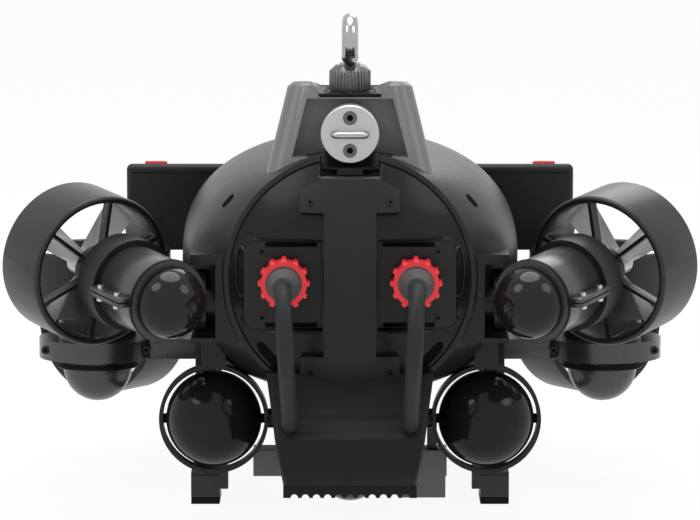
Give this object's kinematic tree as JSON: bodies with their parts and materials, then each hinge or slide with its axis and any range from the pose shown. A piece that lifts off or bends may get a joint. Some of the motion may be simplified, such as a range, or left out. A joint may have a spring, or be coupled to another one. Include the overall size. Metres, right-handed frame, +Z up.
{
  "type": "underwater inspection rov",
  "caption": "Compact underwater inspection ROV: ducted vectored and vertical thrusters, faired hull, tail connectors, lamps, side battery boxes, skids and a lifting eye.",
  "frame": {"origin": "on the ground under the middle of the craft's bounding box", "axes": "+X to starboard (right when seen from astern), +Y forward to the bow, +Z up"},
  "size_m": [0.572, 0.5448, 0.4114],
  "materials": {
    "hull": "satin black moulded fairing",
    "cap": "semi-gloss black moulding",
    "strip": "satin black moulding",
    "panel": "semi-gloss black plate",
    "tower": "satin dark grey moulding",
    "grille": "black moulded slats",
    "steel": "turned stainless steel",
    "polished": "polished stainless steel",
    "silver": "satin anodised aluminium",
    "red": "red locking parts",
    "boot": "grey moulded rubber",
    "lead": "dark grey cable jacket",
    "skirt": "satin black moulding",
    "dark": "gloss black",
    "grey": "grey bead-blasted aluminium",
    "duct": "satin black duct",
    "pod": "black anodised barrel",
    "dome": "gloss black dome",
    "blade": "gloss pale grey",
    "arm": "black anodised bracket",
    "case": "matt black case",
    "lamp": "gloss black anodised",
    "lens": "clear port",
    "skid": "dark coated skid",
    "pad": "black rubber"
  },
  "bodies": {
    "rov_body": {"hull_shell": "hull", "tail_cap": "cap", "tail_strip": "strip", "connector_panels": "panel", "tower_fairing": "tower", "tether_disc": "silver", "tether_bar": "polished", "tower_grille": "grille", "lifting_nut": "steel", "chin_skirt": "skirt", "payload_rail": "skirt", "down_sensor": "dark", "payload_blocks": "grey", "pod_domes": "dome", "rear_arms": "arm", "front_arms": "arm", "foot_pads": "pad", "nose_bezel": "arm", "camera_dome": "lens", "duct_rear_left": "duct", "motor_pod_rear_left": "pod", "duct_rear_right": "duct", "motor_pod_rear_right": "pod", "duct_front_left": "duct", "motor_pod_front_left": "pod", "duct_front_right": "duct", "motor_pod_front_right": "pod", "duct_vertical_left": "duct", "motor_pod_vertical_left": "pod", "duct_vertical_right": "duct", "motor_pod_vertical_right": "pod", "connector_left": "boot", "jumper_lead_left": "lead", "yoke_left": "arm", "battery_box_left": "case", "lamp_ring_left": "arm", "skid_left": "skid", "connector_right": "boot", "jumper_lead_right": "lead", "yoke_right": "arm", "battery_box_right": "case", "lamp_ring_right": "arm", "skid_right": "skid"},
    "lifting_eye_swivel": {"lifting_eye": "polished"},
    "tail_latch_lever": {"tail_latch": "strip"},
    "camera": {"camera_head": "dark"},
    "locking_ring_left": {"locking_ring_left": "red"},
    "battery_catch_left": {"battery_catch_left": "red"},
    "lamp_left": {"lamp_left": "lamp", "lamp_lens_left": "lens"},
    "propeller_rear_left": {"propeller_rear_left": "blade"},
    "propeller_front_left": {"propeller_front_left": "blade"},
    "propeller_vertical_left": {"propeller_vertical_left": "blade"},
    "locking_ring_right": {"locking_ring_right": "red"},
    "battery_catch_right": {"battery_catch_right": "red"},
    "lamp_right": {"lamp_right": "lamp", "lamp_lens_right": "lens"},
    "propeller_rear_right": {"propeller_rear_right": "blade"},
    "propeller_front_right": {"propeller_front_right": "blade"},
    "propeller_vertical_right": {"propeller_vertical_right": "blade"}
  },
  "joints": [
    {"name": "propeller_rear_left_spin", "type": "hinge", "parent": "rov_body", "child": "propeller_rear_left", "pos_m": [-0.2193, -0.0923, 0.2053], "axis": [0.568, -0.8112, -0.1392], "continuous": true},
    {"name": "propeller_front_left_spin", "type": "hinge", "parent": "rov_body", "child": "propeller_front_left", "pos_m": [-0.2098, 0.1359, 0.1266], "axis": [0.5736, 0.8192, 0], "continuous": true},
    {"name": "propeller_vertical_left_spin", "type": "hinge", "parent": "rov_body", "child": "propeller_vertical_left", "pos_m": [-0.2166, 0.025, 0.177], "axis": [0, 0, -1], "continuous": true},
    {"name": "locking_ring_left_turn", "type": "hinge", "parent": "rov_body", "child": "locking_ring_left", "pos_m": [-0.0529, -0.195, 0.202], "axis": [0, -1, 0], "range_deg": [0, 90]},
    {"name": "lamp_left_tilt", "type": "hinge", "parent": "rov_body", "child": "lamp_left", "pos_m": [-0.112, -0.12, 0.0804], "axis": [1, 0, 0], "range_deg": [-20, 45]},
    {"name": "battery_catch_left_slide", "type": "slide", "parent": "rov_body", "child": "battery_catch_left", "axis": [0, 0.9901, -0.1403], "range_m": [0, 0.008]},
    {"name": "propeller_rear_right_spin", "type": "hinge", "parent": "rov_body", "child": "propeller_rear_right", "pos_m": [0.2193, -0.0923, 0.2053], "axis": [-0.568, -0.8112, -0.1392], "continuous": true},
    {"name": "propeller_front_right_spin", "type": "hinge", "parent": "rov_body", "child": "propeller_front_right", "pos_m": [0.2098, 0.1359, 0.1266], "axis": [-0.5736, 0.8192, 0], "continuous": true},
    {"name": "propeller_vertical_right_spin", "type": "hinge", "parent": "rov_body", "child": "propeller_vertical_right", "pos_m": [0.2166, 0.025, 0.177], "axis": [0, 0, -1], "continuous": true},
    {"name": "locking_ring_right_turn", "type": "hinge", "parent": "rov_body", "child": "locking_ring_right", "pos_m": [0.0529, -0.195, 0.202], "axis": [0, -1, 0], "range_deg": [0, 90]},
    {"name": "lamp_right_tilt", "type": "hinge", "parent": "rov_body", "child": "lamp_right", "pos_m": [0.112, -0.12, 0.0804], "axis": [1, 0, 0], "range_deg": [-20, 45]},
    {"name": "battery_catch_right_slide", "type": "slide", "parent": "rov_body", "child": "battery_catch_right", "axis": [0, 0.9901, -0.1403], "range_m": [0, 0.008]},
    {"name": "lifting_eye_swivel_turn", "type": "hinge", "parent": "rov_body", "child": "lifting_eye_swivel", "pos_m": [0, -0.078, 0.368], "axis": [0, 0, 1], "continuous": true},
    {"name": "tail_latch_lift", "type": "hinge", "parent": "rov_body", "child": "tail_latch_lever", "pos_m": [0, -0.147, 0.289], "axis": [-1, 0, 0], "range_deg": [0, 20]},
    {"name": "camera_tilt", "type": "hinge", "parent": "rov_body", "child": "camera", "pos_m": [0, 0.194, 0.202], "axis": [1, 0, 0], "range_deg": [-50, 50]}
  ]
}
